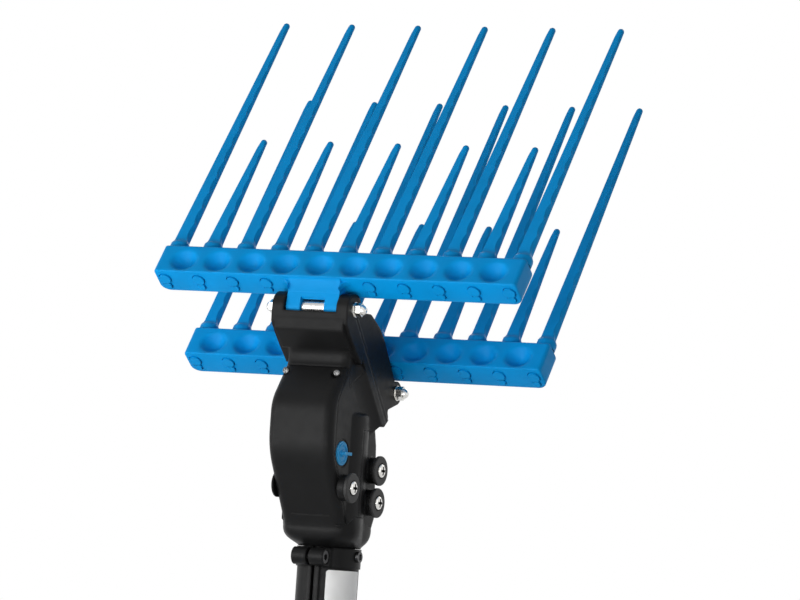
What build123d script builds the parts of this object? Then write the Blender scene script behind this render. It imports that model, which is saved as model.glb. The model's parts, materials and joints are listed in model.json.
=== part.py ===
from build123d import *
from math import cos, radians, sin
import os

# Head of an electric olive harvester: two toothed combs that beat against each other, driven by a
# brushless motor in a moulded housing, with a split sleeve that clamps the head to a carrying pole.
# Millimetres and degrees. X runs along the combs, Y points away from the user, Z goes up the pole.
# The origin is the centre of the sleeve's lower mouth, on the pole axis.

# Driving dimensions: combs
tine_count = 11
tine_pitch = 25.0
long_reach = 235.0
short_reach = 125.0
tine_tip_radius = 2.1
tine_root_radius = 4.2
collar_radius = 6.7
collar_band = 2.0
collar_length = 9.0
tine_flat = 0.75
bar_depth = 23.0
bar_above_axis = 7.75
bar_below_axis = 11.75
bar_end_margin = 6.5
bar_low_corner = 7.0
bar_top_corner = 2.5
bar_edge_round = 1.2
bar_ahead_of_pivot = 11.0
tine_above_pivot = 10.4
key_radius = 2.8
key_drop = 6.2
shank_radius = 4.1
socket_clearance = 0.4
shank_recess = 0.8
dimple_width = 20.0
dimple_depth_y = 17.0
dimple_sink = 5.5
dimple_forward = 1.5
lug_half_width = 18.8
lug_radius = 7.5
lug_foot_low = 0.3
lug_foot_high = 14.5
lug_slant = 25.0
notch_half_width = 8.75
upper_notch_back = 1.5
lower_notch_back = 6.0
notch_roof = 6.6
upper_comb_shift = 12.5
lower_comb_shift = 0.0

# Driving dimensions: pivots and swing
comb_tilt = 52.6
swing = 6.5
rest_swing = -0.8
upper_pivot_y = -41.5
upper_pivot_z = 244.8
lower_pivot_y = 31.1
lower_pivot_z = 195.1
pin_radius = 3.0
running_clearance = 0.05
bush_wall = 1.2
side_play = 0.4
swing_gap = 0.9
upper_ear_outer = 27.5
lower_ear_outer = 25.5
upper_ear_radius = 10.0
lower_ear_radius = 7.8
washer_radius = 5.0
washer_thickness = 1.0
nut_across_flats = 8.0
nut_height = 4.5
nut_dome = 3.4
pin_thread_radius = 2.5
drive_pin_radius = 2.0
drive_pin_y = 6.3
drive_pin_z = 1.2
fit_gap = 0.03

# Driving dimensions: fork levers and eccentric
lever_half_thickness = 5.0
lever_hub_radius = 5.5
lever_arm_half = 3.4
fork_wall = 2.6
fork_height = 7.0
fork_play_upper = 1.7
fork_play_lower = 1.5
fork_end_play = 0.8
eccentric_bearing_radius = 6.5
eccentric_bearing_height = 5.0
journal_radius = 3.0
upper_fork_drop = 25.0
lower_fork_rise = 9.9
spacer_radius = 4.5
retainer_thickness = 1.2
slot_half_width = 6.2
chamber_half_width = 15.5

# Driving dimensions: motor
motor_y = -14.0
can_radius = 18.3
can_wall = 1.6
can_low = 120.0
can_top = 164.0
bay_clearance = 0.2
stator_tooth_count = 9
stator_tooth_width = 3.0
stator_back_wall = 3.0
coil_overhang = 3.5
coil_wall = 1.2
coil_end_gap = 0.5
magnet_count = 8
magnet_gap = 2.0
magnet_overhang = 1.0
core_overhang = 2.0
air_gap = 0.6
rotor_radius = 9.0
magnet_wall = 1.8
shaft_radius = 5.0
bearing_radius = 11.0
bearing_height = 6.0
end_bell_thickness = 8.0
bearing_floor = 2.0
bearing_bore_gap = 1.0
carrier_radius = 14.5
carrier_thickness = 8.0
carrier_flat_y = -3.5
chamber_floor = 184.0

# Driving dimensions: housing
wall = 3.0
body_half_width = 23.2
body_edge_round = 6.0
ridge_radius = 26.5
ridge_y = -13.0
ridge_low = 99.0
ridge_top = 179.0
ridge_round = 2.5
neck_clearance = 0.2
neck_root = 112.0
body_bottom = 97.0
bottom_curve_top = 126.0
bottom_curve_x = 23.0
bottom_curve_z = 106.0
bottom_curve_inset = 7.0
spigot_step = 0.7
spigot_low = 62.0
cable_bore_radius = 6.0
wiring_room_radius = 14.0
wiring_room_y = -8.0
wiring_room_low = 107.0
head_slope = 40.0
rim_half_width = 27.0
rim_base = -30.4
rim_split = -24.8
rim_low_end = -6.5
rim_high_end = 78.0
rim_corner = 3.0
flare_length = 44.0
flare_depth = 19.0
flare_bow = 0.9
flare_bow_depth = 8.0
gasket_thickness = 0.8
cap_half_width = 26.0
cap_rim_thickness = 3.0
lip_half_width = 25.0
lip_top = 242.3
cover_top = 207.5
cover_bottom = 106.0
rear_cover_bottom = 99.0
rear_cover_top = 168.5
rear_tab_y = 9.0
rear_tab_half = 8.0
rear_tab_thickness = 2.0
rear_tab_rise = 2.5
seam = 0.05
board_thickness = 1.6
board_y = -42.0
board_low = 140.0
board_high = 186.0
capacitor_radius = 4.0
capacitor_height = 7.0
capacitor_step = 9.0
capacitor_z = 176.0
front_bay_wall = 4.5

# Driving dimensions: small parts
bumper_radius = 9.75
bumper_thickness = 2.6
bumper_post_radius = 8.6
bumper_post_height = 5.2
back_boss_height = 1.2
bumper_screw_radius = 4.4
bumper_screw_height = 2.2
bumper_round = 0.8
bumper_screw_round = 1.2
cross_length = 4.4
cross_width = 1.0
cross_depth = 1.2
bumper_recess = 0.8
bumper_thread_radius = 1.6
bumper_thread_end = 18.5
bumper_places = [(-32.7, 130.0), (6.0, 143.0), (4.8, 122.0)]
plug_y = -36.5
plug_z = 152.0
plug_radius = 7.8
plug_ring_radius = 9.2
plug_ring_sink = 0.8
plug_sink = 2.5
plug_clearance = 0.3
plug_stem_radius = 4.0
plug_stem_length = 1.8
seal_thickness = 0.8
plug_fin_back = 2.0
plug_fin_length = 9.7
plug_fin_width = 2.0
plug_fin_height = 3.2
cover_screw_inset_right = 6.2
cover_screw_inset_left = 3.2
cover_screw_z = 203.5
cover_screw_seat = -39.5
rear_screw_x = 13.0
rear_screw_z = 102.4
rear_screw_seat = -8.0
cap_screw_x = 21.5
cap_screw_places = [26.0, 60.0]
cap_screw_seat = -16.0
screw_length = 12.0
spot_clearance = 0.4
small_head_radius = 3.0
small_head_height = 2.0
small_thread_radius = 1.5

# Driving dimensions: coupling sleeve
pole_radius = 17.5
sleeve_bore_clearance = 0.08
sleeve_wall = 2.62
pole_stop = 0.5
sleeve_top = 91.0
band_height = 13.0
band_extra = 0.9
slit_width = 2.2
ear_radius = 5.75
ear_half_length = 11.5
ear_out = 5.8
ear_top_z = 84.6
ear_low_z = 8.0
clamp_thread_radius = 2.5
clamp_head_radius = 4.25
clamp_head_depth = 4.5
clamp_nut_flats = 8.0
clamp_nut_depth = 4.0
lock_screw_radius = 2.5
lock_head_radius = 3.6
lock_head_height = 1.8
lock_screw_z = 86.0
slit_lip_half = 4.5
slit_lip_out = 1.4

# Derived places
spigot_radius = pole_radius - spigot_step
sleeve_outer_radius = pole_radius + sleeve_bore_clearance + sleeve_wall
neck_radius = sleeve_outer_radius
ear_y = -sleeve_outer_radius - ear_out
slit_lip_y = -sleeve_outer_radius - slit_lip_out
neck_low = sleeve_top + neck_clearance
bar_length = (tine_count - 1) * tine_pitch + 2 * bar_end_margin
upper_pivot = (upper_pivot_y, upper_pivot_z)
lower_pivot = (lower_pivot_y, lower_pivot_z)
upper_fork_z = upper_pivot_z - upper_fork_drop
lower_fork_z = lower_pivot_z + lower_fork_rise
upper_throw = upper_fork_drop * sin(radians(swing))
lower_throw = lower_fork_rise * sin(radians(swing))
front_bay_half = body_half_width - front_bay_wall
cap_end = rim_high_end + side_play
cap_base = rim_split + gasket_thickness
stator_low = can_low + end_bell_thickness + coil_overhang + coil_end_gap
stator_high = can_top - end_bell_thickness - coil_overhang - coil_end_gap
stator_inner = can_radius - can_wall - stator_back_wall
bay_top = can_top + 2.0
carrier_top = chamber_floor + carrier_thickness
lower_bearing_low = lower_fork_z - eccentric_bearing_height / 2
lower_bearing_high = lower_fork_z + eccentric_bearing_height / 2
upper_bearing_low = upper_fork_z - eccentric_bearing_height / 2
upper_bearing_high = upper_fork_z + eccentric_bearing_height / 2
journal_step = (lower_bearing_high + upper_bearing_low) / 2
shaft_shoulder = lower_bearing_low - 4.0
lug_cut_half = lug_half_width + side_play
lug_cut_radius = lug_radius + swing_gap
bush_outer = pin_radius + running_clearance + bush_wall
upper_middle_place = Location((0, upper_pivot_y, upper_pivot_z), (comb_tilt, 0, 0))
lower_middle_place = Location((0, lower_pivot_y, lower_pivot_z), (comb_tilt, 0, 0))
upper_comb_place = Location((0, upper_pivot_y, upper_pivot_z), (comb_tilt + rest_swing, 0, 0))
lower_comb_place = Location((0, lower_pivot_y, lower_pivot_z), (comb_tilt - rest_swing, 0, 0))
eccentric_rest_turn = 90.0 * rest_swing / swing
head_plane = Plane(
    origin=(0, lower_pivot_y, lower_pivot_z),
    x_dir=(0, cos(radians(head_slope)), sin(radians(head_slope))),
    z_dir=(1, 0, 0),
)


def side_prism(points, half_width, plane=Plane.YZ):
    """A prism with the given side outline, centred on the middle plane."""
    face = make_face(Polyline(*points, close=True))
    return extrude(plane * face, amount=half_width, both=True)


def rounded_outline(points_with_radii):
    """A side outline whose corners are rounded, each by its own radius."""
    face = make_face(Polyline(*[point for point, radius in points_with_radii], close=True))
    for point, radius in points_with_radii:
        if radius > 0:
            corner = face.vertices().sort_by_distance((point[0], point[1], 0))[0]
            face = fillet(corner, radius)
    return face


def rod_x(radius, start, end, y, z):
    """A round bar along X."""
    return Pos((start + end) / 2, y, z) * Rot(0, 90, 0) * Cylinder(radius, end - start)


def rod_z(radius, start, end, x=0.0, y=0.0):
    """A round bar along Z."""
    return Pos(x, y, (start + end) / 2) * Cylinder(radius, end - start)


def ring_z(outer, inner, start, end, x=0.0, y=0.0):
    """A round tube along Z."""
    return rod_z(outer, start, end, x, y) - rod_z(inner, start - 1, end + 1, x, y)


def block(x_range, y_range, z_range):
    """A box between two corners."""
    size = [high - low for low, high in (x_range, y_range, z_range)]
    middle = [(high + low) / 2 for low, high in (x_range, y_range, z_range)]
    return Pos(*middle) * Box(*size)


def hex_x(across_flats, start, end, y, z):
    """A hexagonal bar along X."""
    face = RegularPolygon(across_flats / 2, 6, major_radius=False)
    bar = extrude(face, amount=end - start)
    return Pos(start, y, z) * Rot(0, 90, 0) * bar


def both_sides(solid):
    """The solid and its mirror image on the other side of the middle plane."""
    return [solid, mirror(solid, about=Plane.YZ)]


def save(name, shape):
    """Write one named piece, or one group of like pieces."""
    if isinstance(shape, list):
        shape = Compound(children=[solid for item in shape for solid in item.solids()])
    export_step(shape, os.path.join("parts", name + ".step"))


def tine_x(index, shift):
    """The place of a tine along its bar."""
    return shift + (index - (tine_count - 1) / 2) * tine_pitch


def tine_reach(index):
    """Long and short tines take turns, with a long one at each end."""
    return long_reach if index % 2 == 0 else short_reach


def socket_outline(grow):
    """The keyed outline of a tine's shank, a large lobe over a small one."""
    return Circle(shank_radius + grow) + Pos(0, -key_drop) * Circle(key_radius + grow)


# Comb pieces, in their own frame: pivot at the origin, tines along +Y, upper face towards +Z
front_plane = Plane(origin=(0, bar_ahead_of_pivot, tine_above_pivot), x_dir=(1, 0, 0), z_dir=(0, -1, 0))


def make_tine(index, shift):
    """A tapered tine with a flared collar and a keyed shank that fills its socket."""
    tip = tine_reach(index)
    collar_end = bar_depth + collar_length
    profile = make_face(
        Polyline((0, bar_depth), (collar_radius, bar_depth), (collar_radius, bar_depth + collar_band),
                 (tine_root_radius, collar_end), (tine_tip_radius, tip))
        + RadiusArc((tine_tip_radius, tip), (0, tip + tine_tip_radius), -tine_tip_radius)
        + Line((0, tip + tine_tip_radius), (0, bar_depth))
    )
    blade = revolve(profile, Axis.Y)
    flat = make_face(Polyline(
        (tine_flat * tine_root_radius, collar_end), (tine_flat * tine_tip_radius, tip + tine_tip_radius),
        (collar_radius, tip + tine_tip_radius), (collar_radius, collar_end), close=True))
    blade -= both_sides(extrude(flat, amount=collar_radius, both=True))
    shank = extrude(front_plane * socket_outline(0), amount=-bar_depth)
    shank -= block((-50, 50), (-50, bar_ahead_of_pivot + shank_recess), (-50, 50))
    blade = Pos(0, bar_ahead_of_pivot, tine_above_pivot) * blade
    return Pos(tine_x(index, shift), 0, 0) * (blade + shank)


def make_dimple():
    """A smooth bowl in the upper face between two tines."""
    return scale(Sphere(1.0), by=(dimple_width / 2, dimple_depth_y / 2, dimple_sink))


def make_lug(notch_back):
    """Two knuckles on the front of the bar, with a notch for the lever hub between them."""
    slant = radians(lug_slant)
    outline = make_face(Polyline(
        (bar_ahead_of_pivot, lug_foot_low), (bar_ahead_of_pivot, lug_foot_high),
        (-lug_radius * sin(slant), lug_radius * cos(slant)), (0, -lug_radius), close=True))
    lug = extrude(Plane.YZ * (outline + Circle(lug_radius)), amount=lug_half_width, both=True)
    lug -= block((-notch_half_width, notch_half_width), (-20, notch_back), (-20, 20))
    lug -= block((-notch_half_width, notch_half_width), (-20, bar_ahead_of_pivot), (-20, notch_roof))
    lug -= rod_x(bush_outer + fit_gap, -50, 50, 0, 0)
    lug -= rod_x(drive_pin_radius + fit_gap, -50, lug_half_width - wall, drive_pin_y, drive_pin_z)
    return lug


def make_bar(shift, notch_back):
    """A comb bar with rounded ends, a dimple between each two tines and keyed sockets."""
    height = bar_above_axis + bar_below_axis
    face = Rectangle(bar_length, height)
    face = fillet(face.vertices().group_by(Axis.Y)[0], bar_low_corner)
    face = fillet(face.vertices().group_by(Axis.Y)[-1], bar_top_corner)
    face = Pos(0, (bar_above_axis - bar_below_axis) / 2) * face
    bar = extrude(front_plane * face, amount=-bar_depth)
    ends = bar.faces().filter_by(Axis.Y)
    bar = fillet(ends[0].edges() + ends[-1].edges(), bar_edge_round)
    dimple = make_dimple()
    top = tine_above_pivot + bar_above_axis
    middle = bar_ahead_of_pivot + bar_depth / 2 - dimple_forward
    cuts = []
    for index in range(tine_count):
        socket = extrude(front_plane * socket_outline(socket_clearance), amount=-2 * bar_depth, both=True)
        cuts.append(Pos(tine_x(index, 0), 0, 0) * socket)
        if index < tine_count - 1:
            cuts.append(Pos(tine_x(index + 0.5, 0), middle, top) * dimple)
    bar = Pos(shift, 0, 0) * (bar - cuts)
    return bar + make_lug(notch_back)


def make_bushes():
    """Plain bushes pressed into both knuckles."""
    tube = rod_x(bush_outer, notch_half_width, lug_half_width, 0, 0)
    bush = tube - rod_x(pin_radius + running_clearance, 0, 50, 0, 0)
    return both_sides(bush)


def make_drive_pin():
    """The pin that locks a lever to its lug."""
    end = lug_half_width - wall
    return rod_x(drive_pin_radius, -end, end, drive_pin_y, drive_pin_z)


def make_lever(pivot, place, fork_z, play, throw, wall_side, rest_turn):
    """A steel lever: hub in the lug's notch, a drive pin eye, an arm, and a fork round the eccentric.

    It is drawn at mid swing and then turned about its pivot to the rest pose.
    """
    hub_half = notch_half_width - side_play
    hub = rod_x(lever_hub_radius, -hub_half, hub_half, *pivot)
    eye = place * side_prism(
        [(0, -3.2), (drive_pin_y + 3.2, drive_pin_z - 3.2), (drive_pin_y + 3.2, drive_pin_z + 3.2), (0, 4.5)],
        lever_half_thickness)
    half_y = eccentric_bearing_radius + play
    half_x = eccentric_bearing_radius + throw + fork_end_play
    outer_y = half_y + fork_wall
    outer_x = half_x + fork_wall
    root_y = motor_y + wall_side * (half_y + fork_wall / 2)
    arm_run = Vector(root_y - pivot[0], fork_z - pivot[1])
    across = Vector(-arm_run.Y, arm_run.X).normalized() * lever_arm_half
    start = Vector(*pivot)
    stop = start + arm_run
    corners = [start + across, stop + across, stop - across, start - across]
    arm = side_prism([(corner.X, corner.Y) for corner in corners], lever_half_thickness)
    arm -= block((-50, 50), (motor_y - half_y, motor_y + half_y), (0, 400))
    frame = Pos(0, motor_y, fork_z) * Box(2 * outer_x, 2 * outer_y, fork_height)
    frame = fillet(frame.edges().filter_by(Axis.Z), fork_wall)
    frame -= Pos(0, motor_y, fork_z) * Box(2 * half_x, 2 * half_y, 2 * fork_height)
    lever = hub + eye + arm + frame
    lever -= rod_x(pin_radius + running_clearance, -50, 50, *pivot)
    pin_eye = place * rod_x(drive_pin_radius + fit_gap, -50, 50, drive_pin_y, drive_pin_z)
    return (lever - pin_eye).rotate(Axis((0, *pivot), (1, 0, 0)), rest_turn)


# Housing outlines, as (y, z) points with the radius of each corner
body_outline = [
    ((-21.5, body_bottom), 9.0), ((-55.6, 152.0), 45.0), ((-55.6, 184.5), 24.0), ((-33.0, 213.5), 9.0),
    ((-51.0, 230.0), 8.0), ((-51.0, 239.0), 0.0), ((-42.0, 236.5), 0.0), ((13.3, 169.2), 0.0),
    ((16.0, 160.0), 0.0), ((20.5, 112.0), 12.0), ((13.0, body_bottom), 9.0),
]
lip_outline = [
    ((-38.0, 218.0), 2.0), ((-51.6, 230.5), 4.0), ((-51.6, 237.5), 2.0), ((-50.0, lip_top), 1.0),
    ((-36.0, lip_top), 0.0), ((-28.0, 226.0), 0.0),
]
ear_outline = [
    (-51.5, 244.8), (-51.4, 235.0), (-45.0, 227.5), (-35.0, 218.0), (-26.0, 210.0), (-22.0, 234.0),
    (-33.0, 241.0),
]
chamber_outline = [
    (-29.0, chamber_floor), (-3.0, chamber_floor), (6.0, 193.0), (20.0, 202.5), (8.1, 222.8),
    (-2.1, 231.2), (-15.5, 238.3), (-29.8, 238.1),
]
front_bay_outline = [
    (-41.0, 134.0), (-51.2, 153.0), (-51.2, 182.0), (-41.5, 196.0), (-36.0, 196.0), (-30.0, 166.0),
    (-20.0, 166.0), (-20.0, 134.0),
]
cap_outline = [
    ((cap_base, rim_low_end), 0.0), ((-19.0, rim_low_end), 2.0), ((-17.0, -1.0), 2.0),
    ((-5.0, -6.0), 0.0), ((1.2, 4.0), 0.0), ((2.4, 24.0), 8.0), ((3.4, 38.0), 14.0), ((2.4, 51.0), 14.0),
    ((-3.4, 66.5), 8.0), ((-17.0, 77.5), 4.0), ((cap_base, rim_high_end), 0.0),
]
cover_edge_outline = [
    (-22.5, cover_bottom), (-47.5, 151.0), (-47.5, 185.5), (-34.0, cover_top), (-80.0, cover_top),
    (-80.0, cover_bottom),
]


def comb_swing_room(place, low, high):
    """The space that a lug and the front of its bar sweep between the ears."""
    room = rod_x(lug_cut_radius, -lug_cut_half, lug_cut_half, 0, 0)
    room += block((-lug_cut_half, lug_cut_half), (-2.0, 60.0), (low, high))
    return place * room


def arm_slot(pivot, fork_z, wall_side, near, far):
    """The slot that a lever's arm swings in."""
    target = Vector(motor_y + wall_side * eccentric_bearing_radius, fork_z)
    start = Vector(*pivot)
    run = target - start
    across = Vector(-run.Y, run.X).normalized()
    corners = [
        start + across * near, target + across * far, target - across * far, start - across * near]
    return side_prism([(corner.X, corner.Y) for corner in corners], slot_half_width)


def head_cuts():
    """The inner chamber, the lever slots and the swing room, cut from housing and cap alike."""
    return [
        side_prism(chamber_outline, chamber_half_width),
        arm_slot(upper_pivot, upper_fork_z, -1, 6.5, 10.5),
        arm_slot(lower_pivot, lower_fork_z, 1, 6.5, 10.5),
        comb_swing_room(upper_middle_place, -lug_cut_radius, 40.0),
        comb_swing_room(lower_middle_place, -14.0, 12.6),
        rod_x(pin_radius + fit_gap, -60, 60, *upper_pivot),
        rod_x(pin_radius + fit_gap, -60, 60, *lower_pivot),
    ]


def rounded_edge(edge):
    """Whether an edge of the body's side lies on the rounded front, bottom or back."""
    middle = edge.center()
    return middle.Z < 165.0 or (middle.Y < -22.0 and middle.Z < 236.0)


def flange_flare():
    """The curved flare from the housing's sides out to the flange."""
    low = rim_base - flare_depth
    hollow = (body_half_width + flare_bow, rim_base - flare_bow_depth)
    curve = ThreePointArc((rim_half_width, rim_base), hollow, (body_half_width, low))
    outline = Polyline((body_half_width, low), (0, low), (0, rim_base), (rim_half_width, rim_base))
    start = rim_low_end + rim_corner
    section = Plane(
        origin=head_plane.from_local_coords((0, start, 0)), x_dir=(1, 0, 0), z_dir=head_plane.y_dir)
    half = extrude(section * make_face(curve + outline), amount=flare_length)
    return half + mirror(half, about=Plane.YZ)


def front_view_room():
    """The housing's outline seen from the front, with its lower end rounded in towards the neck."""
    side = rim_half_width + wall
    foot = neck_radius - bottom_curve_inset
    curve = ThreePointArc((side, bottom_curve_top), (bottom_curve_x, bottom_curve_z), (foot, body_bottom))
    outline = Polyline(
        (foot, body_bottom), (0, body_bottom), (0, 300), (side, 300), (side, bottom_curve_top))
    half = extrude(Plane.XZ * make_face(curve + outline), amount=200, both=True)
    return half + mirror(half, about=Plane.YZ)


def housing_blank():
    """The outside of the moulded housing, before it is parted and hollowed."""
    body = extrude(Plane.YZ * rounded_outline(body_outline), amount=body_half_width, both=True)
    sides = body.faces().filter_by(Axis.X)
    rim_line = [edge for side in (sides[0], sides[-1]) for edge in side.edges()]
    body = fillet([edge for edge in rim_line if rounded_edge(edge)], body_edge_round)
    ridge = rod_z(ridge_radius, ridge_low, ridge_top, 0, ridge_y)
    ridge = fillet(ridge.edges(), ridge_round)
    ridge -= side_prism(cover_edge_outline, rim_half_width)
    body += ridge - block((-50, 50), (-80, cover_edge_outline[0][0]), (0, cover_bottom + 1.0))
    body &= front_view_room()
    body += rod_z(neck_radius, neck_low, neck_root)
    body += rod_z(spigot_radius, spigot_low, neck_root)
    rim = make_face(Polyline(
        (rim_base, rim_low_end), (rim_split, rim_low_end), (rim_split, rim_high_end),
        (rim_base, rim_high_end), close=True))
    rim = extrude(head_plane * rim, amount=rim_half_width, both=True)
    rim = fillet(rim.edges().filter_by(Axis.X).sort_by(Axis.Z)[0:1], rim_corner)
    body += rim
    body += flange_flare()
    lip = extrude(Plane.YZ * rounded_outline(lip_outline), amount=lip_half_width, both=True)
    body += lip
    ear = make_face(Polyline(*ear_outline, close=True)) + Pos(*upper_pivot) * Circle(upper_ear_radius)
    ears = extrude(Plane.YZ * ear, amount=upper_ear_outer, both=True)
    ears -= block((-lug_cut_half, lug_cut_half), (-100, 100), (lip_top, 300))
    return body + ears - head_split_side()


def head_split_side():
    """Everything on the cap's side of the flange plane, as far as the end of the cap."""
    outline = Polyline(
        (rim_split, -150), (rim_split + 300, -150), (rim_split + 300, cap_end), (rim_split, cap_end),
        close=True)
    return extrude(head_plane * make_face(outline), amount=200, both=True)


def bumper_posts():
    """Posts under the rubber bumpers, and a low boss behind each on the other side."""
    posts = []
    for y, z in bumper_places:
        start = body_half_width - 1.0
        posts.append(rod_x(bumper_post_radius, start, body_half_width + bumper_post_height, y, z))
        posts.append(rod_x(bumper_post_radius, -body_half_width - back_boss_height, -start, y, z))
    return posts


def head_slab(low, high, half_width):
    """A slab between two depths over the whole length of the flange."""
    outline = Polyline(
        (low, rim_low_end), (high, rim_low_end), (high, rim_high_end), (low, rim_high_end), close=True)
    return extrude(head_plane * make_face(outline), amount=half_width, both=True)


def small_screw(place):
    """A small pan head screw along -Z of its place, with the seat of its head at the place."""
    head = Pos(0, 0, small_head_height / 2) * Cylinder(small_head_radius, small_head_height)
    head -= Pos(0, 0, small_head_height) * Box(2.6, 0.9, 1.8)
    head -= Pos(0, 0, small_head_height) * Box(0.9, 2.6, 1.8)
    shank = Pos(0, 0, -screw_length / 2) * Cylinder(small_thread_radius, screw_length)
    return place * (head + shank)


def small_screw_hole(place, depth):
    """The hole for a small screw, with a spot face of the given depth over its seat."""
    hole = Pos(0, 0, -screw_length / 2) * Cylinder(small_thread_radius + fit_gap, screw_length + 1.0)
    spot = Pos(0, 0, depth / 2) * Cylinder(small_head_radius + spot_clearance, depth)
    return place * (hole + spot)


def housing_screw_places():
    """Places of the cover, rear cover and cap screws, each with the depth of its spot face."""
    places = []
    for x in (body_half_width - cover_screw_inset_right, cover_screw_inset_left - body_half_width):
        front = Plane(origin=(x, cover_screw_seat, cover_screw_z), z_dir=(0, -1, 0))
        places.append((front.location, 12.0))
    for side in (-1, 1):
        rear = Plane(origin=(side * rear_screw_x, rear_screw_seat, rear_screw_z), z_dir=(0, 1, 0))
        places.append((rear.location, 40.0))
        for s in cap_screw_places:
            seat = head_plane.from_local_coords((cap_screw_seat, s, side * cap_screw_x))
            places.append((Plane(origin=seat, z_dir=head_plane.x_dir).location, 40.0))
    return places


def make_cap():
    """The cap over the lever chamber, with the ears of the lower pivot."""
    cap = extrude(head_plane * rounded_outline(cap_outline), amount=cap_half_width, both=True)
    cap += head_slab(cap_base, cap_base + cap_rim_thickness, rim_half_width)
    cap += rod_x(lower_ear_radius, -lower_ear_outer, lower_ear_outer, *lower_pivot)
    return cap - both_sides(rod_x(washer_radius + spot_clearance, lower_ear_outer, 50, *lower_pivot))


def make_shaft():
    """The motor shaft with its two eccentric journals."""
    shaft = rod_z(shaft_radius, can_low + bearing_floor, shaft_shoulder, 0, motor_y)
    shaft += rod_z(spacer_radius, shaft_shoulder, lower_bearing_low, lower_throw, motor_y)
    shaft += rod_z(journal_radius, lower_bearing_low, journal_step, lower_throw, motor_y)
    shaft_end = upper_bearing_high + retainer_thickness
    return shaft + rod_z(journal_radius, journal_step, shaft_end, upper_throw, motor_y)


def make_eccentric_bearings():
    """Two small ball bearings on the journals, with the spacers and the retainer that hold them."""
    bore = journal_radius + fit_gap
    pieces = []
    for low, high, throw, outer in (
        (lower_bearing_low, lower_bearing_high, lower_throw, eccentric_bearing_radius),
        (upper_bearing_low, upper_bearing_high, upper_throw, eccentric_bearing_radius),
        (lower_bearing_high, journal_step, lower_throw, spacer_radius),
        (journal_step, upper_bearing_low, upper_throw, spacer_radius),
        (upper_bearing_high, upper_bearing_high + retainer_thickness, upper_throw, spacer_radius),
    ):
        pieces.append(ring_z(outer, bore, low, high, throw, motor_y))
    return pieces


def make_stator():
    """A laminated ring with inward teeth and their pole shoes."""
    ring = ring_z(can_radius - can_wall - fit_gap, stator_inner, stator_low, stator_high, 0, motor_y)
    tooth_end = rotor_radius + air_gap
    shoe = ring_z(tooth_end + 1.0, tooth_end, stator_low, stator_high, 0, motor_y)
    step = 360 / stator_tooth_count
    for index in range(stator_tooth_count):
        turn = Pos(0, motor_y, 0) * Rot(0, 0, index * step)
        ring += turn * block(
            (tooth_end + 0.5, stator_inner + 1.0), (-stator_tooth_width / 2, stator_tooth_width / 2),
            (stator_low, stator_high))
        slot = turn * Rot(0, 0, step / 2) * block((tooth_end - 1, tooth_end + 2), (-1.2, 1.2), (0, 300))
        shoe -= slot
    return ring + shoe


def make_coils():
    """One wound coil round each stator tooth."""
    coils = []
    low = stator_low - coil_overhang
    high = stator_high + coil_overhang
    half = stator_tooth_width / 2 + bay_clearance
    inner = rotor_radius + air_gap + 1.0 + bay_clearance
    for index in range(stator_tooth_count):
        turn = Pos(0, motor_y, 0) * Rot(0, 0, index * 360 / stator_tooth_count)
        coil = block((inner, stator_inner - 0.6), (-half - coil_wall, half + coil_wall), (low, high))
        coil = fillet(coil.edges().filter_by(Axis.X), coil_wall)
        coil -= block((0, 50), (-half, half), (stator_low - bay_clearance, stator_high + bay_clearance))
        coils.append(turn * coil)
    return coils


def make_magnets():
    """Curved magnets on the rotor core."""
    low = stator_low - magnet_overhang
    high = stator_high + magnet_overhang
    core = rotor_radius - magnet_wall
    band = ring_z(rotor_radius, core + fit_gap, low, high, 0, motor_y)
    for index in range(magnet_count // 2):
        turn = Pos(0, motor_y, 0) * Rot(0, 0, (index + 0.5) * 360 / magnet_count)
        band -= turn * block((-50, 50), (-magnet_gap / 2, magnet_gap / 2), (low - 1, high + 1))
    return band


def make_sleeve():
    """The split sleeve that clamps round the housing's spigot and the pole."""
    sleeve = rod_z(sleeve_outer_radius, 0, sleeve_top)
    sleeve += rod_z(sleeve_outer_radius + band_extra, sleeve_top - band_height, sleeve_top)
    for z in (ear_low_z, ear_top_z):
        sleeve += rod_x(ear_radius, -ear_half_length, ear_half_length, ear_y, z)
        sleeve += block(
            (-ear_half_length, ear_half_length), (ear_y, -sleeve_outer_radius / 2),
            (z - ear_radius, z + ear_radius))
    sleeve += block((-slit_lip_half, slit_lip_half), (slit_lip_y, -pole_radius), (0, sleeve_top))
    sleeve -= rod_z(pole_radius + sleeve_bore_clearance, -1, spigot_low - pole_stop)
    sleeve -= rod_z(spigot_radius + sleeve_bore_clearance, 0, sleeve_top + 1)
    sleeve -= block((-slit_width / 2, slit_width / 2), (-60, 0), (-1, sleeve_top + 1))
    for z in (ear_low_z, ear_top_z):
        sleeve -= rod_x(clamp_thread_radius + fit_gap, -50, 50, ear_y, z)
        head_seat = ear_half_length - clamp_head_depth
        sleeve -= rod_x(clamp_head_radius + spot_clearance, head_seat, 50, ear_y, z)
        sleeve -= hex_x(clamp_nut_flats + bay_clearance, -50, -ear_half_length + clamp_nut_depth, ear_y, z)
    sleeve -= rod_x(lock_screw_radius + fit_gap, 0, 50, 0, lock_screw_z)
    return sleeve


def make_clamp_screw(z):
    """A socket head screw across the slit of the sleeve."""
    seat = ear_half_length - clamp_head_depth
    screw = rod_x(clamp_thread_radius, -ear_half_length + 0.5, seat + 0.5, ear_y, z)
    screw += rod_x(clamp_head_radius, seat, ear_half_length - 0.5, ear_y, z)
    return screw - hex_x(clamp_thread_radius * 1.6, ear_half_length - 3.0, 50, ear_y, z)


def make_clamp_nut(z):
    """The nut of a clamp screw, sunk in its pocket."""
    low = -ear_half_length + 0.6
    nut = hex_x(clamp_nut_flats, low, -ear_half_length + clamp_nut_depth, ear_y, z)
    return nut - rod_x(clamp_thread_radius + fit_gap, -50, 50, ear_y, z)


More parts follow.
